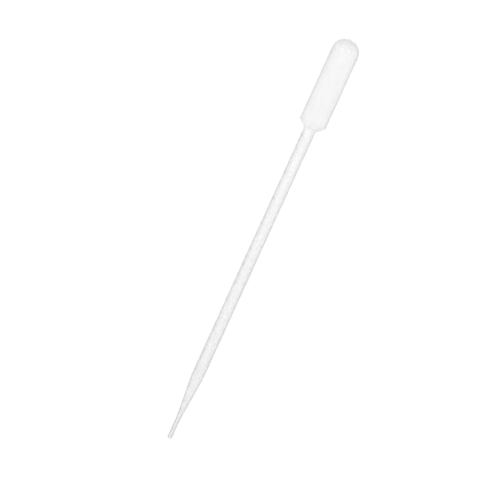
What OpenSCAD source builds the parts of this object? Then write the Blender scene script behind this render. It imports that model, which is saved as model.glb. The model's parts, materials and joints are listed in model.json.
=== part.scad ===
// Plastic dropper pipette: one thin-walled piece, blown in low-density polyethylene.
// A squeeze bulb runs into a slim stem, which is drawn down to a fine open tip.
// The pipette lies on its side, as it comes to rest on a table: +X runs from tip to bulb,
// and it touches the table at the rim of the bulb and where the stem starts to taper.

/* [Overall] */
// Length from the open tip to the top of the bulb
total_len = 160; // [120:1:240]

/* [Bulb] */
// Outer diameter of the bulb
bulb_d = 10.2; // [8:0.1:20]
// Length of the bulb from its rim to its top
bulb_len = 33.2; // [20:0.1:60]
// Wall of the bulb
bulb_wall = 0.45; // [0.3:0.05:0.8]
// Slope of the shoulder between stem and bulb, from the axis
shoulder_angle = 45; // [30:1:60]
// Rounding of the rim between shoulder and bulb
rim_r = 0.25; // [0.1:0.05:0.6]
// Rounding of the neck between stem and shoulder
neck_r = 0.3; // [0.2:0.05:1]

/* [Stem] */
// Bore of the stem, which sets the spacing of the volume marks
stem_bore_d = 3.53; // [2.5:0.01:5]
// Wall of the stem
stem_wall = 0.505; // [0.3:0.005:0.8]

/* [Tip] */
// Bore of the tip
tip_bore_d = 0.9; // [0.5:0.05:2]
// Wall of the tip
tip_wall = 0.35; // [0.2:0.05:0.6]
// Length of the tip, up to where the taper would start with no rounding
tip_len = 8.4; // [5:0.1:20]
// Length of the taper between tip and stem
taper_len = 15.9; // [10:0.1:40]
// Radius of the long curves at both ends of the taper
taper_blend_r = 50; // [20:1:80]

/* [Volume marks] */
// Volume between two marks, in millilitres
mark_step = 0.1; // [0.05:0.05:0.5]
// Height of the lowest mark above the end of the taper
first_mark_gap = 0.4; // [0:0.1:10]
// Least distance between the highest mark and the neck
top_mark_gap = 5; // [2:0.5:20]
// Width of a mark along the stem
mark_w = 0.4; // [0.2:0.05:0.8]
// Height of a mark above the stem
mark_h = 0.12; // [0.05:0.01:0.3]
// Arc of the stem that a mark covers, in degrees
mark_arc = 70; // [30:5:180]
// Direction that the marks face at rest, in degrees above the table
mark_facing = 30; // [-40:5:60]

/* [Hidden] */
$fn = 96;
// Facets of a full circle of the long, shallow curves
long_curve_fn = 720;
// Depth by which a cut passes through the face that it starts from
cut_through = 1;
// A rounding arc passes this far over the lines that it joins, so that they meet cleanly
arc_overlap = 0.002;

bulb_r = bulb_d / 2;
stem_bore_r = stem_bore_d / 2;
tip_bore_r = tip_bore_d / 2;
cavity_r = bulb_r - bulb_wall;
stem_r = stem_bore_r + stem_wall;
tip_r = tip_bore_r + tip_wall;

// Places along the axis, from the open end of the tip
taper_end = tip_len + taper_len;
rim_z = total_len - bulb_len;
neck_z = rim_z - (bulb_r - stem_r) / tan(shoulder_angle);
dome_z = total_len - bulb_r;

// Inside, the shoulder's corners stand where a wall of even thickness puts them
inner_rim_z = rim_z + bulb_wall * tan(shoulder_angle / 2);
inner_neck_z = inner_rim_z - (cavity_r - stem_bore_r) / tan(shoulder_angle);

// Marks: each step holds mark_step millilitres in the stem's bore
mark_pitch = mark_step * 1000 / (PI * pow(stem_bore_r, 2));
first_mark_z = taper_end + first_mark_gap;
mark_count = 1 + floor((neck_z - top_mark_gap - first_mark_z) / mark_pitch);
// A mark is a bead: the cap of a circle of this radius stands out of the stem
mark_bead_r = (pow(mark_w / 2, 2) + pow(mark_h, 2)) / (2 * mark_h);

// Rest: one straight line touches the rounded rim and the first thing that the pipette tips onto,
// which is the curve above the taper or, with a wide bulb or a long taper, the end of the tip
taper_angle = atan((stem_r - tip_r) / taper_len);
curve_z = taper_end + taper_blend_r * tan(taper_angle / 2);
curve_r = stem_r - taper_blend_r;
round_z = rim_z + rim_r * tan(shoulder_angle / 2);
round_r = bulb_r - rim_r;
rest_tilt = min(tilt_onto(curve_r, curve_z, taper_blend_r), tilt_onto(tip_r, 0, 0));
rest_height = rim_r + round_r * cos(rest_tilt) - round_z * sin(rest_tilt);
rest_middle = (dome_z * cos(rest_tilt) + bulb_r - tip_r * sin(rest_tilt)) / 2;

// Tilt of the line that touches the rounded rim and an arc of radius arc_r with its middle at [r, z]
function tilt_onto(r, z, arc_r) = atan2(round_r - r, round_z - z)
    - asin((arc_r - rim_r) / norm([round_z - z, round_r - r]));

// Unit vector from point a to point b
function unit(a, b) = (b - a) / norm(b - a);

// What lies between the corner b of the path a-b-c and the arc of radius r that rounds it.
// It is added where the corner is hollow, and cut away where the corner stands out.
module corner_sliver(a, b, c, r, fn = $fn) {
    back = unit(b, a);
    ahead = unit(b, c);
    inward = (back + ahead) / norm(back + ahead);
    half_turn = acos(-back * ahead) / 2;
    reach = r * tan(half_turn);
    difference() {
        polygon([b + reach * back, b - arc_overlap * inward, b + reach * ahead]);
        translate(b + inward * r / cos(half_turn)) circle(r + arc_overlap, $fn = fn);
    }
}

// Half section of the pipette's outer or inner form: tip, taper, stem, shoulder, bulb and dome.
// It starts at z_tip. The taper's two curves and the neck and rim have the radii given.
module bottle_section(r_tip, r_stem, r_bulb, z_tip, z_neck, z_rim, neck_round, rim_round) {
    mouth = [r_tip, z_tip];
    taper_low = [r_tip, tip_len];
    taper_high = [r_stem, taper_end];
    neck = [r_stem, z_neck];
    rim = [r_bulb, z_rim];
    shoulder_of_dome = [r_bulb, dome_z];
    difference() {
        union() {
            polygon([[0, z_tip], mouth, taper_low, taper_high, neck, rim, shoulder_of_dome,
                [0, dome_z]]);
            corner_sliver(mouth, taper_low, taper_high, taper_blend_r, long_curve_fn);
            corner_sliver(taper_high, neck, rim, neck_round);
            dome_section(r_bulb);
        }
        corner_sliver(taper_low, taper_high, neck, taper_blend_r, long_curve_fn);
        corner_sliver(neck, rim, shoulder_of_dome, rim_round);
    }
}

// Quarter circle of the dome, with a strip below it that sinks into the bulb
module dome_section(r) {
    translate([0, dome_z]) intersection() {
        circle(r);
        translate([0, -cut_through]) square([r, r + cut_through]);
    }
}

// Outer form, solid
module outer_form() {
    rotate_extrude()
        bottle_section(tip_r, stem_r, bulb_r, 0, neck_z, rim_z, neck_r, rim_r);
}

// The space inside, from the open tip to the dome
module inner_space() {
    rotate_extrude()
        bottle_section(tip_bore_r, stem_bore_r, cavity_r, -cut_through, inner_neck_z,
            inner_rim_z, neck_r, rim_r);
}

// One raised mark, halfway round to the side that faces up at rest
module volume_mark() {
    rotate([0, 0, 90 + mark_facing - mark_arc / 2])
        rotate_extrude(angle = mark_arc)
            translate([stem_r + mark_h - mark_bead_r, 0]) circle(mark_bead_r);
}

// The scale: marks at equal steps of volume
module scale_marks() {
    for (step = [0 : mark_count - 1])
        translate([0, 0, first_mark_z + step * mark_pitch]) volume_mark();
}

// The whole pipette standing on its tip
module upright_pipette() {
    difference() {
        union() {
            outer_form();
            scale_marks();
        }
        inner_space();
    }
}

// The pipette lying at rest, with the middle of its length over the origin
module pipette() {
    color([0.95, 0.95, 0.94, 0.7])
        translate([-rest_middle, 0, rest_height])
            rotate([0, 90 - rest_tilt, 0])
                upright_pipette();
}

pipette();
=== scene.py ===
"""A plastic dropper pipette lying on a pale table, seen from above.

The pipette is one blown wall of translucent polyethylene. Its visual mesh is one surface of
revolution with a raised relief of volume marks, numerals and the mould's parting line. The camera
looks down on it, in soft studio light.
"""

import json
import logging
import math
from dataclasses import dataclass, field
from enum import Enum
from typing import ClassVar

import bpy
import numpy as np
from mathutils import Matrix, Vector


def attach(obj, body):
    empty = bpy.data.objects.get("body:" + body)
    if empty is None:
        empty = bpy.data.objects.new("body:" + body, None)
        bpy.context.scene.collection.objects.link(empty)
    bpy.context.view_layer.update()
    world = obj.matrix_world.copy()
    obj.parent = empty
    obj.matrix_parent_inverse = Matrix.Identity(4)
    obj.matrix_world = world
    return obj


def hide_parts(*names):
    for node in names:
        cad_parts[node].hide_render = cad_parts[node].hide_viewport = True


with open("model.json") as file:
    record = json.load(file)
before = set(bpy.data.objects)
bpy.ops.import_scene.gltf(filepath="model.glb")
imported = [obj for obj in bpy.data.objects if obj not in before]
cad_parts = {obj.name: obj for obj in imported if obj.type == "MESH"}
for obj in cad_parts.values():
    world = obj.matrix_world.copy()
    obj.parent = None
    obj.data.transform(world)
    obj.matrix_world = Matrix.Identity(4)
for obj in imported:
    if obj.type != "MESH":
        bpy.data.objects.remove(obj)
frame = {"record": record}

log = logging.getLogger("pipette")

Socket = bpy.types.NodeSocket

MM = 0.001
PIECE = "pipette_wall"
# Lengths that differ by less than this many millimetres are the same
SAME = 1e-6
# The least that a stroke's length squared counts as, so that a dot can be a stroke
LEAST_SQUARE = 1e-12


def unit(vector: np.ndarray) -> np.ndarray:
    """Return the vector at length one."""
    return vector / np.linalg.norm(vector)


def smooth_step(low: float, high: float, value: np.ndarray) -> np.ndarray:
    """Rise from 0 at low to 1 at high, with level ends: 3t^2 - 2t^3 of the share t of the way."""
    share = np.clip((value - low) / (high - low), 0.0, 1.0)
    return share * share * (3.0 - 2.0 * share)


# -----------------------------------------------------------------------------
# Shape
# -----------------------------------------------------------------------------


@dataclass(frozen=True)
class Axis:
    """The pipette's own axis in the row frame, in metres.

    Attributes:
        tip: the middle of the open tip's end.
        along: unit vector from the tip to the bulb.
        side: unit vector level with the table, towards the marks.
        up: unit vector square to both, away from the table.
    """

    tip: np.ndarray
    along: np.ndarray
    side: np.ndarray
    up: np.ndarray

    @classmethod
    def from_record(cls, record: dict) -> "Axis":
        """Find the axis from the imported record's mount on the tip.

        Args:
            record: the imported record. Its mount on the tip points out of the tip's end, and its
                place is the middle of the mount's length.

        Returns:
            The axis, with its start at the tip's end.
        """
        mount = next(m for m in record["mounts"] if m["name"] == "tip")
        along = -unit(np.array(mount["axis"], float))
        tip = np.array(mount["pos_m"], float) - along * mount["dims"]["length_mm"] * MM / 2
        side = np.array((0.0, 1.0, 0.0))
        return cls(tip, along, side, np.cross(along, side))

    def at(self, distance: float) -> np.ndarray:
        """Return the point of the axis at this distance from the tip's end."""
        return self.tip + self.along * distance

    @property
    def tilt(self) -> float:
        """Angle by which the axis rises from the table towards the bulb."""
        return math.asin(self.along[2])


@dataclass(frozen=True)
class Corner:
    """A corner of the half section, in millimetres.

    Attributes:
        r: distance from the axis.
        z: distance from the tip's end.
        rounding: radius of the arc that replaces the corner, or 0 where the section just ends.
        steps: facets of that arc.
    """

    r: float
    z: float
    rounding: float = 0.0
    steps: int = 1

    @property
    def point(self) -> np.ndarray:
        """The corner as an array."""
        return np.array((self.r, self.z))

    def arc(self, before: "Corner", after: "Corner") -> np.ndarray:
        """Round the corner between its neighbours.

        The arc's ends lie radius * tan(half the turn) from the corner, and its centre lies
        radius / cos(half the turn) from it, halfway between the two sides. Seen from the centre,
        the point at share t is (sin((1 - t) turn) * start + sin(t turn) * end) / sin(turn).

        Args:
            before: the corner that the section comes from.
            after: the corner that it goes on to.

        Returns:
            The arc's points as rows of (r, z).
        """
        if self.rounding == 0.0:
            return self.point[None, :]
        back = unit(before.point - self.point)
        ahead = unit(after.point - self.point)
        half_turn = math.acos(float(-back @ ahead)) / 2
        centre = self.point + unit(back + ahead) * self.rounding / math.cos(half_turn)
        start = self.point + back * self.rounding * math.tan(half_turn) - centre
        end = self.point + ahead * self.rounding * math.tan(half_turn) - centre
        share = np.linspace(0.0, 1.0, self.steps + 1)[:, None]
        turn = 2 * half_turn
        from_start = np.sin((1 - share) * turn) * start
        from_end = np.sin(share * turn) * end
        return centre + (from_start + from_end) / math.sin(turn)


@dataclass(frozen=True)
class Bead:
    """The rounded section of a raised line, in millimetres.

    Attributes:
        width: width of the line at its foot.
        height: how far it stands out.
    """

    width: float
    height: float

    def over(self, distance: np.ndarray) -> np.ndarray:
        """Return the height at a distance from the line's middle.

        The section is the cap of a circle through both feet and the crown: the height is
        sqrt(R^2 - d^2) - (R - height), with R = (width^2 / 4 + height^2) / (2 height).

        Args:
            distance: the distances.

        Returns:
            The heights, which are 0 beyond the feet.
        """
        radius = ((self.width / 2) ** 2 + self.height**2) / (2 * self.height)
        under_root = np.clip(radius**2 - distance**2, 0.0, None)
        return np.clip(np.sqrt(under_root) - (radius - self.height), 0.0, None)


@dataclass(frozen=True)
class Lettering:
    """Plain raised figures made of strokes, in millimetres.

    A stroke is a row (x0, y0, x1, y1). x runs the way the figures are read, and y runs up.

    Attributes:
        height: height of a figure, over the middles of its strokes.
        bead: section of the strokes.
        spacing: gap between two figures, as a share of the height.
        bow_points: points on the curved part of a figure.
    """

    height: float
    bead: Bead
    spacing: float = 0.3
    bow_points: ClassVar[int] = 25

    @staticmethod
    def _line(*points: tuple[float, float]) -> np.ndarray:
        """Join points by straight strokes."""
        path = np.array(points, float)
        return np.hstack((path[:-1], path[1:]))

    @classmethod
    def _bow(
        cls, middle: tuple[float, float], radii: tuple[float, float], turn: tuple[float, float]
    ) -> np.ndarray:
        """Draw part of an ellipse as short strokes.

        A point is the middle plus (half width * cos(angle), half height * sin(angle)).

        Args:
            middle: the ellipse's middle.
            radii: its half width and half height.
            turn: the angles where it starts and ends, in degrees from the right.

        Returns:
            The strokes.
        """
        angle = np.radians(np.linspace(*turn, cls.bow_points))
        x = middle[0] + radii[0] * np.cos(angle)
        y = middle[1] + radii[1] * np.sin(angle)
        path = np.stack((x, y), 1)
        return np.hstack((path[:-1], path[1:]))

    @classmethod
    def figure(cls, sign: str) -> tuple[np.ndarray, float]:
        """Draw one figure of height 1 that starts at x = 0 and stands on y = 0.

        0 is an ellipse, 1 a short rising stroke and an upright, and 5 a bar and a leaning stroke
        that lead into an open bow. The point is a stroke of no length, which the bead makes a dot.

        Args:
            sign: one of "0", "1", "5" and ".".

        Returns:
            Its strokes and its width.
        """
        if sign == "0":
            return cls._bow((0.3, 0.5), (0.3, 0.5), (0, 360)), 0.6
        if sign == "1":
            return cls._line((0.0, 0.76), (0.24, 1.0), (0.24, 0.0)), 0.24
        if sign == "5":
            top = cls._line((0.54, 1.0), (0.07, 1.0), (0.04, 0.52))
            bow = cls._bow((0.27, 0.31), (0.31, 0.31), (138, -145))
            return np.vstack((top, bow)), 0.58
        if sign == ".":
            return cls._line((0.0, 0.0), (0.0, 0.0)), 0.0
        raise ValueError(f"no figure is drawn for {sign!r}")

    def strokes(self, text: str) -> np.ndarray:
        """Set a text at its real height, with its middle at x = 0 and y = 0.

        Args:
            text: the figures.

        Returns:
            All its strokes.
        """
        rows: list[np.ndarray] = []
        x = 0.0
        for sign in text:
            figure, width = self.figure(sign)
            rows.append(figure + np.array((x, 0.0, x, 0.0)))
            x += width + self.spacing
        centring = np.array(((x - self.spacing) / 2, 0.5) * 2)
        return (np.vstack(rows) - centring) * self.height


def distance_to(strokes: np.ndarray, x: np.ndarray, y: np.ndarray) -> np.ndarray:
    """Return the distance from each point to the nearest stroke.

    For a stroke from a to b it is |p - a - t (b - a)|, with t = (p - a).(b - a) / |b - a|^2 held
    between 0 and 1.

    Args:
        strokes: rows of (x0, y0, x1, y1).
        x: the points' first coordinates.
        y: the points' second coordinates.

    Returns:
        The distances, in the shape of x.
    """
    start, run = strokes[:, :2], strokes[:, 2:] - strokes[:, :2]
    length_squared = np.maximum((run**2).sum(1), LEAST_SQUARE)
    dx = x[..., None] - start[:, 0]
    dy = y[..., None] - start[:, 1]
    share = np.clip((dx * run[:, 0] + dy * run[:, 1]) / length_squared, 0.0, 1.0)
    return np.hypot(dx - share * run[:, 0], dy - share * run[:, 1]).min(-1)


@dataclass(frozen=True)
class Scale:
    """The raised volume marks on the stem and the figures beside them, in millimetres and degrees.

    Attributes:
        first_z: place of the lowest mark.
        pitch: distance between marks.
        count: number of marks.
        arc: part of the stem's round that a mark covers.
        facing: direction of the marks' middle, from straight up towards their side.
        bead: section of the marks.
        lettering: the figures' form.
        figures: each text with the place of its middle.
        row_step: distance between the mesh's rows across a mark or a figure.
    """

    first_z: float = 24.7
    pitch: float = 10.218
    count: int = 10
    arc: float = 70.0
    facing: float = 60.0
    bead: Bead = Bead(width=0.4, height=0.12)
    lettering: Lettering = Lettering(height=2.2, bead=Bead(width=0.3, height=0.1))
    figures: tuple[tuple[str, float], ...] = (("0.5", 71.1), ("1.0", 120.6))
    row_step: float = 0.045

    def places(self) -> np.ndarray:
        """Return the marks' distances from the tip's end."""
        return self.first_z + self.pitch * np.arange(self.count)

    def rows(self) -> np.ndarray:
        """Find where the relief needs a row of vertices: across each mark and along each text.

        Returns:
            The rows' distances from the tip's end.
        """
        reach = self.bead.width / 2 + self.row_step
        across = np.arange(-reach, reach + self.row_step / 2, self.row_step)
        marks = (self.places()[:, None] + across).ravel()
        texts: list[np.ndarray] = []
        for text, middle in self.figures:
            half_text = self.lettering.strokes(text)[:, ::2].max()
            half = half_text + self.lettering.bead.width / 2 + self.row_step
            texts.append(middle + np.arange(-half, half, self.row_step))
        return np.concatenate((marks, *texts))

    def height(self, z: np.ndarray, angle: np.ndarray, stem_r: float) -> np.ndarray:
        """Return the relief's height over the stem.

        The stem's surface is unrolled: x is the stem's radius times the angle from the marks'
        middle. A mark is a stroke along x. The figures are read along z, with their feet towards
        +x. A text reaches less than twice its height along z, and less than its height along x.

        Args:
            z: distance from the tip's end of each grid point.
            angle: its direction round the axis, from straight up, in degrees.
            stem_r: the stem's radius.

        Returns:
            The height in millimetres.
        """
        x = -np.radians((angle - self.facing + 180.0) % 360.0 - 180.0) * stem_r
        reach = math.radians(self.arc / 2) * stem_r - self.bead.width / 2
        number = np.clip(np.rint((z - self.first_z) / self.pitch), 0, self.count - 1).astype(int)
        nearest = self.places()[number]
        past_end = np.clip(np.abs(x) - reach, 0.0, None)
        height = self.bead.over(np.hypot(z - nearest, past_end))
        for text, middle in self.figures:
            strokes = self.lettering.strokes(text)
            beside = np.abs(z - middle) < 2 * self.lettering.height
            near = beside & (np.abs(x) < self.lettering.height)
            figure = self.lettering.bead.over(distance_to(strokes, z[near] - middle, -x[near]))
            height[near] = np.maximum(height[near], figure)
        return height


@dataclass(frozen=True)
class PartingLine:
    """The faint ridge that the mould's two halves leave on both sides, in millimetres and degrees.

    Attributes:
        height: how far it stands out.
        width: distance from its middle where 1 / e of its height is left.
        facing: direction of one ridge from straight up. The other lies opposite.
        fade: the stretch from the tip's end over which the ridge comes up.
        offsets: how far the mesh's columns lie from its middle.
    """

    height: float = 0.02
    width: float = 0.07
    facing: float = -30.0
    fade: tuple[float, float] = (9.0, 24.0)
    offsets: tuple[float, ...] = (0.0, 0.35, 0.8, 1.4, 2.2)

    def angles(self) -> np.ndarray:
        """Find where the mesh needs a column of vertices: on each ridge and on both its sides.

        Returns:
            The columns' directions.
        """
        half = np.array(self.offsets)
        across = np.concatenate((-half[:0:-1], half))
        return np.concatenate((self.facing + across, self.facing + 180.0 + across))

    def ridge(self, z: np.ndarray, angle: np.ndarray, radius: np.ndarray) -> np.ndarray:
        """Work out the ridge: height * exp(-(d / width)^2), with d the distance round the wall.

        Args:
            z: distance from the tip's end of each grid point.
            angle: its direction round the axis, from straight up, in degrees.
            radius: its distance from the axis.

        Returns:
            The ridge's height in millimetres.
        """
        off = np.abs((angle - self.facing + 90.0) % 180.0 - 90.0)
        distance = np.radians(off) * radius
        ridge = self.height * np.exp(-((distance / self.width) ** 2))
        return ridge * smooth_step(*self.fade, z)


class WallMap(Enum):
    """Numbers that the mesh carries at each vertex."""

    THICKNESS = "wall_thickness"
    BORE_SHARE = "bore_share"


@dataclass
class Pipette:
    """The blown pipette: one wall from the open tip to the closed dome, in millimetres.

    Attributes:
        axis: where the pipette lies.
        total_len: length from the tip's end to the top of the bulb.
        bulb_r: outer radius of the bulb.
        bulb_len: length of the bulb from its rim.
        bulb_wall: the bulb's wall.
        shoulder_angle: slope of the shoulder from the axis.
        rim_r: rounding between shoulder and bulb.
        neck_r: rounding between stem and shoulder.
        stem_r: outer radius of the stem.
        stem_bore_r: its bore.
        tip_r: outer radius of the tip.
        tip_bore_r: its bore.
        tip_len: length of the tip.
        taper_len: length of the taper.
        blend_r: radius of the long curves at both ends of the taper.
        edge_r: softening of the tip's cut edges.
        gather: how much more haze the rings at the cut end and the neck have, as thickness.
        gather_reach: distance from such a ring's middle where 1 / e of that is left.
        ring_rows: how far the mesh's close rows lie from the arcs there, as shares of gather_reach.
        dome_gather: how much more haze the dome has, as thickness.
        dome_fade: distances below the top between which that comes in.
        rim_fade: power of the normal's slope by which a sloping wall's rim gets thinner.
        relief_lens: how far a mark's full height bends the view out past the bore, as a share.
        row_gap: longest distance between two rows of vertices.
        column_gap: widest angle between two columns.
        fine_gap: angle between two columns under the marks and the figures.
        fine_margin: how many fine columns there are beyond each end of a mark.
        crowding: an even column closer to a fine one than column_gap over this is left out.
        scale: the volume marks.
        parting: the mould's parting line.
    """

    axis: Axis
    total_len: float = 160.0
    bulb_r: float = 5.1
    bulb_len: float = 33.2
    bulb_wall: float = 0.45
    shoulder_angle: float = 45.0
    rim_r: float = 0.25
    neck_r: float = 0.3
    stem_r: float = 2.27
    stem_bore_r: float = 1.765
    tip_r: float = 0.8
    tip_bore_r: float = 0.45
    tip_len: float = 8.4
    taper_len: float = 15.9
    blend_r: float = 50.0
    edge_r: float = 0.07
    gather: float = 0.3
    gather_reach: float = 0.3
    ring_rows: tuple[float, ...] = (0.4, 0.8, 1.3, 2.0)
    dome_gather: float = 0.24
    dome_fade: tuple[float, float] = (14.0, 4.0)
    rim_fade: float = 4.0
    relief_lens: float = 0.65
    row_gap: float = 2.5
    column_gap: float = 4.0
    fine_gap: float = 1.15
    fine_margin: int = 4
    crowding: float = 3.0
    scale: Scale = field(default_factory=Scale)
    parting: PartingLine = field(default_factory=PartingLine)

    @property
    def taper_end(self) -> float:
        """Distance from the tip's end to where the taper meets the stem."""
        return self.tip_len + self.taper_len

    @property
    def rim_z(self) -> float:
        """Distance from the tip's end to the rim between shoulder and bulb."""
        return self.total_len - self.bulb_len

    @property
    def neck_z(self) -> float:
        """Distance from the tip's end to the neck between stem and shoulder."""
        rise = self.bulb_r - self.stem_r
        return self.rim_z - rise / math.tan(math.radians(self.shoulder_angle))

    def corners(self) -> list[Corner]:
        """List the section's corners, from the cavity's top down to the tip and up the outside.

        Inside, the shoulder's corners lie where a wall of even thickness puts them: the rim's lies
        wall * tan(slope / 2) higher, and the neck's as far below it as the inner shoulder drops.

        Returns:
            The corners in order.
        """
        slope = math.radians(self.shoulder_angle)
        cavity_r = self.bulb_r - self.bulb_wall
        cavity_top = self.total_len - self.bulb_wall
        inner_rim_z = self.rim_z + self.bulb_wall * math.tan(slope / 2)
        inner_neck_z = inner_rim_z - (cavity_r - self.stem_bore_r) / math.tan(slope)
        return [
            Corner(0.0, cavity_top),
            Corner(cavity_r, cavity_top, cavity_r, steps=24),
            Corner(cavity_r, inner_rim_z, self.rim_r, steps=6),
            Corner(self.stem_bore_r, inner_neck_z, self.neck_r, steps=8),
            Corner(self.stem_bore_r, self.taper_end, self.blend_r, steps=8),
            Corner(self.tip_bore_r, self.tip_len, self.blend_r, steps=8),
            Corner(self.tip_bore_r, 0.0, self.edge_r, steps=5),
            Corner(self.tip_r, 0.0, self.edge_r, steps=5),
            Corner(self.tip_r, self.tip_len, self.blend_r, steps=8),
            Corner(self.stem_r, self.taper_end, self.blend_r, steps=8),
            Corner(self.stem_r, self.neck_z, self.neck_r, steps=10),
            Corner(self.bulb_r, self.rim_z, self.rim_r, steps=8),
            Corner(self.bulb_r, self.total_len, self.bulb_r, steps=32),
            Corner(0.0, self.total_len),
        ]

    def section(self) -> tuple[np.ndarray, int]:
        """Work out the half section as one path of points.

        Each corner gives its arc, and the stretches between two arcs are straight.

        Returns:
            The points as rows of (r, z), from pole to pole, and the first row of the outside.
        """
        corners = self.corners()
        arcs = [corners[0].point[None, :]]
        arcs += [c.arc(a, b) for a, c, b in zip(corners, corners[1:], corners[2:])]
        arcs += [corners[-1].point[None, :]]
        outer_tip = next(i for i, c in enumerate(corners) if (c.r, c.z) == (self.tip_r, 0.0))
        path = [arcs[0]]
        first_outside = 0
        for index in range(1, len(arcs)):
            start = path[-1][-1]
            end = arcs[index][0]
            apart = float(np.linalg.norm(end - start)) > SAME
            if apart:
                share = self.rows_between(corners[index - 1], corners[index], start, end)
                path.append(start + share[:, None] * (end - start))
            if index == outer_tip:
                first_outside = sum(len(stretch) for stretch in path)
            path.append(arcs[index] if apart else arcs[index][1:])
        return np.vstack(path), first_outside

    def rows_between(
        self, before: Corner, after: Corner, start: np.ndarray, end: np.ndarray
    ) -> np.ndarray:
        """Choose the rows of a straight stretch between two corners.

        They lie in even steps of at most row_gap. Beside the cut end and the neck there are a few
        close rows, and on the outside of the stem those that the relief needs. An even row that
        lies within half of gather_reach of such a row is left out.

        Args:
            before: the corner that the stretch leaves.
            after: the corner that it leads to.
            start: the stretch's first point, as (r, z).
            end: its last point.

        Returns:
            The rows, as shares of the way from start to end.
        """
        gap = float(np.linalg.norm(end - start))
        even = np.linspace(0.0, 1.0, max(1, math.ceil(gap / self.row_gap)) + 1)[1:-1]
        ring = self.gather_reach * np.array(self.ring_rows)
        needed: list[np.ndarray] = []
        if before.rounding in (self.edge_r, self.neck_r):
            needed.append(ring / gap)
        if after.rounding in (self.edge_r, self.neck_r):
            needed.append(1.0 - ring / gap)
        if abs(start[0] - self.stem_r) < SAME and abs(end[0] - self.stem_r) < SAME:
            needed.append((self.scale.rows() - start[1]) / (end[1] - start[1]))
        if not needed:
            return even
        close = np.concatenate(needed)
        clearance = np.abs(close[:, None] - even).min(0) * gap
        inside = close[(close > 0) & (close < 1)]
        return np.sort(np.concatenate((inside, even[clearance > self.gather_reach / 2])))

    def columns(self) -> np.ndarray:
        """Choose the columns: fine under the marks and the parting line, and even elsewhere.

        Returns:
            The columns' directions in degrees, in order.
        """
        reach = self.scale.arc / 2 + self.fine_margin * self.fine_gap
        fine = self.scale.facing + np.arange(-reach, reach, self.fine_gap)
        special = np.concatenate((fine, self.parting.angles())) % 360.0
        plain = np.arange(0.0, 360.0, self.column_gap)
        off = np.abs((plain[:, None] - special + 180.0) % 360.0 - 180.0).min(1)
        return np.sort(np.concatenate((special, plain[off > self.column_gap / self.crowding])))

    def surface(self) -> tuple[np.ndarray, np.ndarray, np.ndarray]:
        """Work out the wall as a grid of section rows and columns round the axis.

        A point is the axis at z, plus its radius and relief in the direction
        cos(angle) * up + sin(angle) * side. The relief stands along the section's normal, which is
        (dz, -dr) of the path.

        Returns:
            The grid's points in metres, and at each point the two numbers of wall().
        """
        section, first_outside = self.section()
        angle = self.columns()
        z, theta = section[:, 1][:, None], np.radians(angle)[None, :]
        run = np.gradient(section, axis=0)
        run /= np.linalg.norm(run, axis=1)[:, None]
        normal_r, normal_z = run[:, 1][:, None], -run[:, 0][:, None]
        grid_z = np.broadcast_to(z, (len(section), len(angle))).copy()
        grid_angle = np.broadcast_to(angle, grid_z.shape)
        radius = np.broadcast_to(section[:, 0][:, None], grid_z.shape)
        relief = self.scale.height(grid_z, grid_angle, self.stem_r)
        relief[np.abs(radius - self.stem_r) > SAME] = 0.0
        relief = np.maximum(relief, self.parting.ridge(grid_z, grid_angle, radius))
        relief[:first_outside] = 0.0
        r = radius + relief * normal_r
        height = z + relief * normal_z
        spread = np.cos(theta)[..., None] * self.axis.up + np.sin(theta)[..., None] * self.axis.side
        points = self.axis.tip + (height[..., None] * self.axis.along + r[..., None] * spread) * MM
        return points, *self.wall(section, run[:, 1], first_outside, relief)

    def wall(
        self, section: np.ndarray, normal_r: np.ndarray, first_outside: int, relief: np.ndarray
    ) -> tuple[np.ndarray, np.ndarray]:
        """Work out how thick the wall counts as, and how much of the width its bore takes up.

        The thickness is the wall's, plus gather * exp(-(d / gather_reach)^2) at the distance d from
        the cut end and from the neck, plus dome_gather in the dome, where blown plastic gathers. A
        raised line adds its height.

        The bore's share is 1 - wall * normal_r^rim_fade / r. With the power 1 it would be the
        wall's part of its radius round the axis, but a sloping wall, such as the shoulder and the
        dome's top, curves less across the view. The share is 1 on the inside, which has no wall
        behind it, and a raised line takes up to relief_lens of it away.

        Args:
            section: the section's points as rows of (r, z).
            normal_r: how much of each row's normal leads away from the axis.
            first_outside: the first row of the outside.
            relief: the relief's height at each point of the grid.

        Returns:
            The wall's thickness in millimetres and the bore's share, at each point of the grid.
        """
        r, z = section[:, 0], section[:, 1]
        places = (self.tip_len, self.taper_end, self.rim_z)
        walls = (self.tip_r - self.tip_bore_r, self.stem_r - self.stem_bore_r, self.bulb_wall)
        thickness = np.interp(z, places, walls)
        upright = np.clip(normal_r, 0.0, 1.0) ** self.rim_fade
        share = 1.0 - thickness * upright / np.maximum(r, self.tip_bore_r)
        share[:first_outside] = 1.0
        for ring_z in (0.0, self.neck_z):
            thickness += self.gather * np.exp(-(((z - ring_z) / self.gather_reach) ** 2))
        below_top = [self.total_len - distance for distance in self.dome_fade]
        thickness += self.dome_gather * smooth_step(*below_top, z)
        lens = 1.0 - self.relief_lens * relief / self.scale.bead.height
        return thickness[:, None] + relief, share[:, None] * lens

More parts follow.
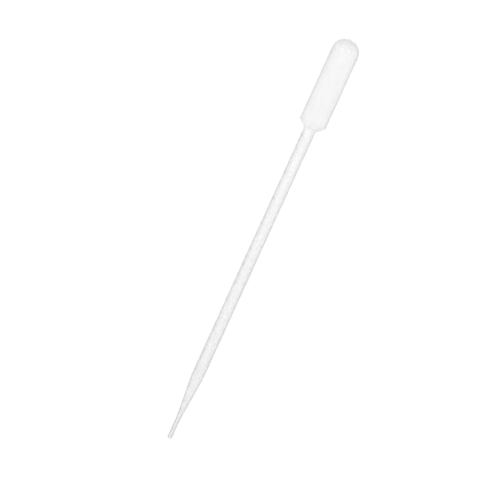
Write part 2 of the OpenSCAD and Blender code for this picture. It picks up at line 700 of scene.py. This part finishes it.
    def build(self) -> bpy.types.Object:
        """Make the pipette's mesh: quads between rows, and a fan of triangles at each pole.

        Returns:
            The pipette as a new object.
        """
        points, thickness, bore_share = self.surface()
        rows, columns = points.shape[:2]
        inner = points[1:-1].reshape(-1, 3)
        vertices = np.vstack((points[0, 0], inner, points[-1, 0]))
        index = 1 + np.arange((rows - 2) * columns).reshape(rows - 2, columns)
        ahead = np.roll(index, -1, axis=1)
        quads = np.stack((index[:-1], index[1:], ahead[1:], ahead[:-1]), -1).reshape(-1, 4)
        first = np.stack((np.zeros(columns, int), index[0], ahead[0]), -1)
        last = np.stack((index[-1], np.full(columns, len(vertices) - 1), ahead[-1]), -1)
        faces = first.tolist() + quads.tolist() + last.tolist()
        mesh = bpy.data.meshes.new(PIECE)
        mesh.from_pydata(vertices.tolist(), [], faces)
        for layer, values in ((WallMap.THICKNESS, thickness), (WallMap.BORE_SHARE, bore_share)):
            spread = np.concatenate((values[0, :1], values[1:-1].ravel(), values[-1, :1]))
            mesh.attributes.new(layer.value, "FLOAT", "POINT").data.foreach_set("value", spread)
        mesh.validate()
        mesh.shade_smooth()
        piece = bpy.data.objects.new(PIECE, mesh)
        bpy.context.scene.collection.objects.link(piece)
        return piece


# -----------------------------------------------------------------------------
# Finishes
# -----------------------------------------------------------------------------


class Ray(Enum):
    """Kinds of ray that a Light Path node tells apart."""

    CAMERA = "Is Camera Ray"
    GLOSSY = "Is Glossy Ray"
    TRANSMISSION = "Is Transmission Ray"
    SHADOW = "Is Shadow Ray"


class Nodes:
    """A node tree with short calls for adding nodes and joining them."""

    def __init__(self, tree: bpy.types.NodeTree) -> None:
        """Take a tree and empty it."""
        self.tree = tree
        tree.nodes.clear()

    def add(self, kind: str, inputs: dict | None = None, **settings: object) -> bpy.types.Node:
        """Add a node.

        Args:
            kind: the node's type, without the ShaderNode in front.
            inputs: a value or an output socket for each input, by name or number.
            settings: the node's own properties.

        Returns:
            The new node.
        """
        node = self.tree.nodes.new("ShaderNode" + kind)
        for name, value in settings.items():
            setattr(node, name, value)
        for name, value in (inputs or {}).items():
            if isinstance(value, Socket):
                self.tree.links.new(value, node.inputs[name])
            else:
                node.inputs[name].default_value = value
        return node

    def math(self, operation: str, a: object, b: object = 0.0) -> Socket:
        """Return a number worked out from one or two others."""
        return self.add("Math", {0: a, 1: b}, operation=operation).outputs[0]

    def ranged(
        self, value: Socket, low: object, high: object, to_low: float, to_high: float
    ) -> Socket:
        """Map a number with smooth ends, so that low becomes to_low and high becomes to_high."""
        inputs = {"Value": value, 1: low, 2: high, 3: to_low, 4: to_high}
        return self.add("MapRange", inputs, interpolation_type="SMOOTHSTEP").outputs[0]

    def blend(self, share: object, a: object, b: object) -> Socket:
        """Mix two colours."""
        return self.add("Mix", {0: share, 6: a, 7: b}, data_type="RGBA").outputs[2]

    def noise(self, place: Socket, scale: float, detail: float) -> Socket:
        """Add noise with so many cells in a unit of the place, and so many octaves."""
        inputs = {"Vector": place, "Scale": scale, "Detail": detail}
        return self.add("TexNoise", inputs).outputs[0]

    def seen(self) -> Socket:
        """Tell the rays that see the background: straight, mirrored or through something.

        Returns:
            The socket of a number that is 1 for such a ray and 0 for the others.
        """
        path = self.add("LightPath")
        mirrored = path.outputs[Ray.GLOSSY.value]
        through = path.outputs[Ray.TRANSMISSION.value]
        straight = path.outputs[Ray.CAMERA.value]
        return self.math("MAXIMUM", straight, self.math("MAXIMUM", mirrored, through))


@dataclass(frozen=True)
class Polyethylene:
    """Natural low-density polyethylene: a milky, satin wall that the table shows through.

    Attributes:
        clear_tint: colour where the wall is clearest.
        milky_tint: colour where it is milkiest.
        lens_painted_shade: a painted shade where the wall is thick for its bore, fullest at the
            tip: a darker colour that stands in for the darkening that such a wall's lens gives.
        lens_shade_share: the bore's shares of the width at which that painted shade is full and
            begins.
        drawn_haze: how much more the wall scatters there, as a share.
        smooth: lowest roughness.
        satin: highest roughness.
        ior: index of refraction.
        slant: index that bends a slanting view before it crosses the haze. It is lower than ior,
            because haze spreads the view.
        haze: how much a millimetre of wall scatters, where it is clearest and milkiest.
        rim_haze: how much more the rim of a tube scatters, where the bore sends light back.
        rim_start: how far inside the bore's edge that rim starts, as a share of the radius.
        rim_reach: the most that this may be, as a share of the wall.
        rim_full: where outside that edge it is full, as a share of the wall.
        shade: colour that each face of the wall leaves to light from the lamps.
        flow_scale: cells in a metre of the flow lines, along the pipette and across it twice.
        cloud_scale: cells in a metre of the clouds.
        grain_scale: cells in a metre of the fine grain.
        flow_detail: octaves of the flow lines.
        fine_detail: octaves of the clouds and the grain.
        noise_span: values of the flow lines and clouds between which the milk comes in.
        least_flow: what the flow lines leave of the milk where they are clearest.
        least_cloud: what the clouds leave of it where they are clearest.
        mottle_span: values of the clouds and grain between which the roughness rises.
        grain_part: part of the surface's unevenness that is grain. The rest is flow lines.
        uneven: strength of that unevenness.
        uneven_depth: its depth, in metres.
    """

    clear_tint: tuple[float, float, float, float] = (0.91, 0.91, 0.91, 1.0)
    milky_tint: tuple[float, float, float, float] = (0.89, 0.89, 0.89, 1.0)
    # Painted shade of the thick-walled tip, standing in for the darkening of its lens
    lens_painted_shade: tuple[float, float, float, float] = (0.68, 0.68, 0.68, 1.0)
    lens_shade_share: tuple[float, float] = (0.57, 0.96)
    drawn_haze: float = 2.4
    smooth: float = 0.12
    satin: float = 0.16
    ior: float = 1.51
    slant: float = 1.25
    haze: tuple[float, float] = (0.30, 0.34)
    rim_haze: float = 1.6
    rim_start: float = 0.06
    rim_reach: float = 0.75
    rim_full: float = 0.6
    shade: tuple[float, float, float, float] = (0.98, 0.98, 0.98, 1.0)
    flow_scale: tuple[float, float, float] = (60.0, 900.0, 900.0)
    cloud_scale: float = 160.0
    grain_scale: float = 5000.0
    flow_detail: float = 3.0
    fine_detail: float = 2.0
    noise_span: tuple[float, float] = (0.3, 0.7)
    least_flow: float = 0.3
    least_cloud: float = 0.4
    mottle_span: tuple[float, float] = (0.35, 0.65)
    grain_part: float = 0.05
    uneven: float = 0.1
    uneven_depth: float = 0.00002

    def material(self, axis: Axis) -> bpy.types.Material:
        """Build the material.

        The wall's colour and haze are mixed with a mirror by Fresnel's share on its outward faces.
        Where the wall is thick for its bore, fullest at the tip, the colour darkens to a painted
        shade that stands in for the darkening of that wall's lens, and the haze rises. The
        roughness follows the mean of the clouds and the grain. A ray towards a lamp passes each
        face and is left with the shade.

        Args:
            axis: the pipette's axis, along which the flow lines run.

        Returns:
            The material.
        """
        material = bpy.data.materials.new("polyethylene")
        material.use_nodes = True
        nodes = Nodes(material.node_tree)
        place = nodes.add("TexCoord").outputs["Object"]
        level = {"Vector": place, "Rotation": (0.0, axis.tilt, 0.0)}
        turned = nodes.add("Mapping", level).outputs[0]
        stretched = nodes.add("Mapping", {"Vector": turned, "Scale": self.flow_scale}).outputs[0]
        flow = nodes.noise(stretched, 1.0, self.flow_detail)
        cloud = nodes.noise(turned, self.cloud_scale, self.fine_detail)
        grain = nodes.noise(turned, self.grain_scale, self.fine_detail)
        milk = self.milk(nodes, flow, cloud)
        thickness = nodes.add("Attribute", attribute_name=WallMap.THICKNESS.value).outputs["Fac"]
        bore_share = nodes.add("Attribute", attribute_name=WallMap.BORE_SHARE.value).outputs["Fac"]
        # Painted shade: where the wall is thick for its bore, fullest at the tip, the colour
        # darkens to stand in for the darkening of that wall's lens, and the haze rises
        lens_shade = nodes.ranged(bore_share, *self.lens_shade_share, 1.0, 0.0)
        density = nodes.math("ADD", 1.0, nodes.math("MULTIPLY", lens_shade, self.drawn_haze))
        haze = nodes.math("MULTIPLY", thickness, nodes.ranged(milk, 0.0, 1.0, *self.haze))
        tint = nodes.blend(milk, self.clear_tint, self.milky_tint)
        mottle = nodes.math("MULTIPLY", nodes.math("ADD", cloud, grain), 1 / 2)
        rough = nodes.ranged(mottle, *self.mottle_span, self.smooth, self.satin)
        normal = self.unevenness(nodes, flow, grain)
        # The Base Color carries the painted shade of the thick-walled tip
        body = nodes.add("BsdfPrincipled", {
            "Base Color": nodes.blend(lens_shade, tint, self.lens_painted_shade),
            "Roughness": rough,
            "IOR": self.ior,
            "Specular IOR Level": 0.0,
            "Alpha": self.cover(nodes, nodes.math("MULTIPLY", haze, density), bore_share),
            "Normal": normal,
        })
        gloss = nodes.add("BsdfGlossy", {"Roughness": rough, "Normal": normal})
        outward = nodes.math("SUBTRACT", 1.0, nodes.add("NewGeometry").outputs["Backfacing"])
        fresnel = nodes.add("Fresnel", {"IOR": self.ior}).outputs[0]
        mirrored = nodes.math("MULTIPLY", fresnel, outward)
        surface = nodes.add("MixShader", {0: mirrored, 1: body.outputs[0], 2: gloss.outputs[0]})
        passed = nodes.add("BsdfTransparent", {"Color": self.shade})
        shadow = nodes.add("LightPath").outputs[Ray.SHADOW.value]
        both = nodes.add("MixShader", {0: shadow, 1: surface.outputs[0], 2: passed.outputs[0]})
        nodes.add("OutputMaterial", {"Surface": both.outputs[0]})
        return material

    def milk(self, nodes: Nodes, flow: Socket, cloud: Socket) -> Socket:
        """Work out how milky the wall is: the flow lines' share times the clouds' share.

        Args:
            nodes: the material's nodes.
            flow: the flow lines.
            cloud: the clouds.

        Returns:
            The milkiness, up to 1.
        """
        streaked = nodes.ranged(flow, *self.noise_span, self.least_flow, 1.0)
        clouded = nodes.ranged(cloud, *self.noise_span, self.least_cloud, 1.0)
        return nodes.math("MULTIPLY", streaked, clouded)

    def unevenness(self, nodes: Nodes, flow: Socket, grain: Socket) -> Socket:
        """Bend the surface's normal by the flow lines and a little grain.

        Args:
            nodes: the material's nodes.
            flow: the flow lines.
            grain: the grain.

        Returns:
            The normal.
        """
        lines = nodes.math("MULTIPLY", flow, 1.0 - self.grain_part)
        height = nodes.math("ADD", lines, nodes.math("MULTIPLY", grain, self.grain_part))
        inputs = {"Height": height, "Strength": self.uneven, "Distance": self.uneven_depth}
        return nodes.add("Bump", inputs).outputs[0]

    def cover(self, nodes: Nodes, haze: Socket, bore_share: Socket) -> Socket:
        """Work out how much of what lies behind a face the wall hides.

        Layer Weight's Facing with a blend of a half is 1 - the cosine of the ray's angle to the
        normal, which gives its sine s. The ray goes on in the wall at the cosine
        sqrt(1 - (s / slant)^2), so it crosses haze / cosine. Where s passes the bore's share, the
        bore's face turns the ray back round the tube, which the rim's haze stands for. The face
        then hides 1 - exp(-(haze / cosine + rim)).

        Args:
            nodes: the material's nodes.
            haze: how much the wall scatters, crossed square on.
            bore_share: share of the tube's width that its bore takes up.

        Returns:
            The share that is hidden.
        """
        facing = nodes.add("LayerWeight", {"Blend": 1 / 2}).outputs["Facing"]
        straight = nodes.math("SUBTRACT", 1.0, facing)
        sine_squared = nodes.math("SUBTRACT", 1.0, nodes.math("MULTIPLY", straight, straight))
        bent = nodes.math("MULTIPLY", sine_squared, self.slant**-2)
        cosine = nodes.math("SQRT", nodes.math("SUBTRACT", 1.0, bent))
        wall_share = nodes.math("SUBTRACT", 1.0, bore_share)
        most = nodes.math("MULTIPLY", wall_share, self.rim_reach)
        inside = nodes.math("MINIMUM", most, self.rim_start)
        starts = nodes.math("SUBTRACT", bore_share, inside)
        full = nodes.math("ADD", bore_share, nodes.math("MULTIPLY", wall_share, self.rim_full))
        rim = nodes.ranged(nodes.math("SQRT", sine_squared), starts, full, 0.0, self.rim_haze)
        depth = nodes.math("ADD", nodes.math("DIVIDE", haze, cosine), rim)
        return nodes.math("SUBTRACT", 1.0, nodes.math("POWER", math.exp(-1.0), depth))


@dataclass(frozen=True)
class PaleTable:
    """A matt white table top that shows as white around the object and keeps its shadow.

    Attributes:
        colour: the table's own colour.
        lift: light added where the table is seen, so that it shows as white.
        lit: distances from the middle between which the lamps' light falls off, in metres. Beyond
            them the added light is 1.
    """

    colour: tuple[float, float, float, float] = (0.55, 0.55, 0.55, 1.0)
    lift: float = 0.5
    lit: tuple[float, float] = (0.15, 0.6)

    def material(self) -> bpy.types.Material:
        """Build the material: the table's matt colour, plus the light added where it is seen.

        Returns:
            The material.
        """
        material = bpy.data.materials.new("pale_table")
        material.use_nodes = True
        nodes = Nodes(material.node_tree)
        matt = nodes.add("BsdfDiffuse", {"Color": self.colour})
        place = nodes.add("TexCoord").outputs["Object"]
        out = nodes.add("VectorMath", {0: place}, operation="LENGTH").outputs["Value"]
        lift = nodes.ranged(out, *self.lit, self.lift, 1.0)
        glow = nodes.add("Emission", {"Strength": nodes.math("MULTIPLY", nodes.seen(), lift)})
        both = nodes.add("AddShader", {0: matt.outputs[0], 1: glow.outputs[0]})
        nodes.add("OutputMaterial", {"Surface": both.outputs[0]})
        return material


# -----------------------------------------------------------------------------
# Studio
# -----------------------------------------------------------------------------


@dataclass(frozen=True)
class Lamp:
    """A square soft box aimed at the pipette.

    Attributes:
        name: the lamp's name.
        aside: its angle from overhead, towards the marks' side.
        ahead: its angle from overhead, towards the bulb.
        distance: how far it is from the aim, in metres.
        size: its width, in metres.
        power: its power, in watts.
        mirrored: whether it shows in the gloss.
    """

    name: str
    aside: float
    ahead: float
    distance: float
    size: float
    power: float
    mirrored: bool = True

    def build(self, aim: Vector) -> bpy.types.Object:
        """Place the lamp so that it faces the aim, on the line (tan(ahead), tan(aside), 1) from it.

        Args:
            aim: the point it faces.

        Returns:
            The lamp.
        """
        along = math.tan(math.radians(self.ahead))
        across = math.tan(math.radians(self.aside))
        way = Vector((along, across, 1.0)).normalized()
        data = bpy.data.lights.new(self.name, "AREA")
        data.size = self.size
        data.energy = self.power
        lamp = bpy.data.objects.new(self.name, data)
        lamp.visible_camera = False
        lamp.visible_glossy = self.mirrored
        turn = way.to_track_quat("Z", "Y").to_matrix().to_4x4()
        lamp.matrix_world = Matrix.Translation(aim + way * self.distance) @ turn
        bpy.context.scene.collection.objects.link(lamp)
        return lamp


@dataclass(frozen=True)
class Studio:
    """The table, the lamps, the surroundings and the camera.

    Attributes:
        table_width: width of the table top, in metres.
        surround: brightness of the surroundings as a light.
        lamps: the soft boxes.
        aim_from_tip: distance from the tip's end to the axis point nearest the aim, in mm.
        aim_aside: how far the aim lies from the axis, towards the marks' side, in mm.
        view_width: width of the view at the aim, in mm.
        lean: angle in the view by which the bulb leans to the right of upright.
        from_bulb: angle by which the camera stands from overhead towards the bulb.
        distance: distance of the camera from the aim, in metres.
        sensor: width of the camera's sensor, in mm.
        near_clip: distance from the camera where its view begins, in metres.
    """

    table_width: float = 6.0
    surround: float = 0.2
    lamps: tuple[Lamp, ...] = (
        Lamp("ceiling", aside=0.0, ahead=-40.0, distance=1.5, size=2.8, power=22.0, mirrored=False),
        Lamp("left", aside=60.0, ahead=0.0, distance=1.5, size=1.5, power=6.8, mirrored=False),
        Lamp("right", aside=-60.0, ahead=0.0, distance=1.5, size=1.5, power=7.6, mirrored=False),
        Lamp("key", aside=-32.0, ahead=36.0, distance=1.0, size=0.18, power=1.25),
        Lamp("fill", aside=33.0, ahead=28.0, distance=1.0, size=0.18, power=1.25),
    )
    aim_from_tip: float = 75.1
    aim_aside: float = 1.63
    view_width: float = 180.5
    lean: float = 24.5
    from_bulb: float = 8.0
    distance: float = 4.0
    sensor: float = 36.0
    near_clip: float = 0.01

    def build(self, axis: Axis) -> None:
        """Build the whole studio round the pipette.

        Args:
            axis: the pipette's axis.
        """
        aim = Vector(axis.at(self.aim_from_tip * MM) + axis.side * self.aim_aside * MM)
        self.table()
        self.surroundings()
        for lamp in self.lamps:
            lamp.build(aim)
        self.camera(aim)
        log.info("studio: %d lamps, camera %.2f m away", len(self.lamps), self.distance)

    def table(self) -> bpy.types.Object:
        """Lay the table top at height zero, as one square that faces up.

        Returns:
            The table top.
        """
        half = self.table_width / 2
        corners = [(-half, -half, 0.0), (half, -half, 0.0), (half, half, 0.0), (-half, half, 0.0)]
        mesh = bpy.data.meshes.new("table")
        mesh.from_pydata(corners, [], [(0, 1, 2, 3)])
        mesh.materials.append(PaleTable().material())
        table = bpy.data.objects.new("table", mesh)
        bpy.context.scene.collection.objects.link(table)
        return table

    def surroundings(self) -> None:
        """Surround the scene with even light, which shows as white where it is seen.

        Its strength is the greater of 1 for a ray that sees it and the surround for every ray.
        """
        world = bpy.data.worlds.new("studio")
        world.use_nodes = True
        nodes = Nodes(world.node_tree)
        strength = nodes.math("MAXIMUM", nodes.seen(), self.surround)
        light = nodes.add("Background", {"Color": (1.0, 1.0, 1.0, 1.0), "Strength": strength})
        nodes.add("OutputWorld", {"Surface": light.outputs[0]})
        bpy.context.scene.world = world

    def camera(self, aim: Vector) -> bpy.types.Object:
        """Set the camera above the pipette, a little from the bulb's end, and turn it by the lean.

        Unturned, the view's right is -Y and its up is the bulb's way. The lean turns both, so that
        the bulb's way becomes cos(lean) * up + sin(lean) * right.

        Args:
            aim: the middle of the view.

        Returns:
            The camera.
        """
        back_angle, lean = math.radians(self.from_bulb), math.radians(self.lean)
        back = Vector((math.sin(back_angle), 0.0, math.cos(back_angle)))
        level = Vector((0.0, -1.0, 0.0))
        ahead = back.cross(level)
        up = ahead * math.cos(lean) - level * math.sin(lean)
        right = level * math.cos(lean) + ahead * math.sin(lean)
        data = bpy.data.cameras.new("camera")
        data.sensor_width = self.sensor
        data.lens = self.sensor * self.distance / (self.view_width * MM)
        data.clip_start = self.near_clip
        camera = bpy.data.objects.new("camera", data)
        turn = Matrix((right, up, back)).transposed().to_4x4()
        camera.matrix_world = Matrix.Translation(aim + back * self.distance) @ turn
        bpy.context.scene.collection.objects.link(camera)
        bpy.context.scene.camera = camera
        return camera


def main() -> None:
    """Build the pipette and its studio, and log the pipette's vertices and faces."""
    logging.basicConfig(level=logging.INFO, format="%(name)s: %(message)s")
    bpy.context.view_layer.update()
    bpy.context.scene.view_settings.view_transform = "Standard"
    axis = Axis.from_record(frame["record"])
    pipette = Pipette(axis)
    piece = pipette.build()
    piece.data.materials.append(Polyethylene().material(axis))
    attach(piece, "root")
    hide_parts("pipette")
    mesh = piece.data
    log.info("%s: %d vertices, %d faces", piece.name, len(mesh.vertices), len(mesh.polygons))
    Studio().build(axis)


if __name__ == "__main__":
    main()
